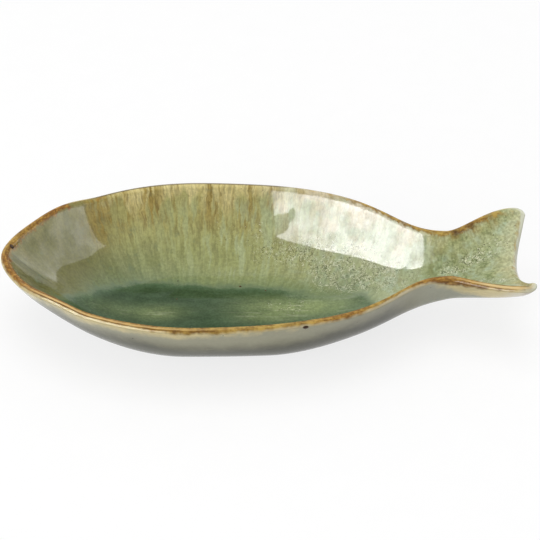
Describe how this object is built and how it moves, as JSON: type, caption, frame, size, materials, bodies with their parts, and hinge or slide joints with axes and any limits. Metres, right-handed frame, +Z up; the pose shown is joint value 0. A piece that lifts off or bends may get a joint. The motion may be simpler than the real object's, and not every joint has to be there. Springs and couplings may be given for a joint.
{
  "type": "fish shaped platter",
  "caption": "Deep stoneware serving platter shaped like a fish, with a blunt nose, a rounded lip, a forked tail, a foot ring and coats of reactive glaze.",
  "frame": {"origin": "on the table under the middle of the platter's outline, at the foot ring's standing face", "axes": "+X from the nose towards the tail, +Y across towards the far rim in the picture, +Z up"},
  "size_m": [0.3, 0.141, 0.051],
  "materials": {
    "clay_body": "fired stoneware, hidden under the glaze",
    "foot_ring": "unglazed, matt",
    "inner_glaze": "glossy reactive glaze, sage green with ochre runs",
    "outer_glaze": "glossy, cream with a few iron specks",
    "rim_glaze": "glossy, mottled iron brown",
    "pool_glaze": "glossy, dark teal green"
  },
  "bodies": {
    "root": {"clay_body": "clay_body", "foot_ring": "foot_ring", "inner_glaze": "inner_glaze", "outer_glaze": "outer_glaze", "rim_glaze": "rim_glaze", "pool_glaze": "pool_glaze"}
  },
  "joints": []
}
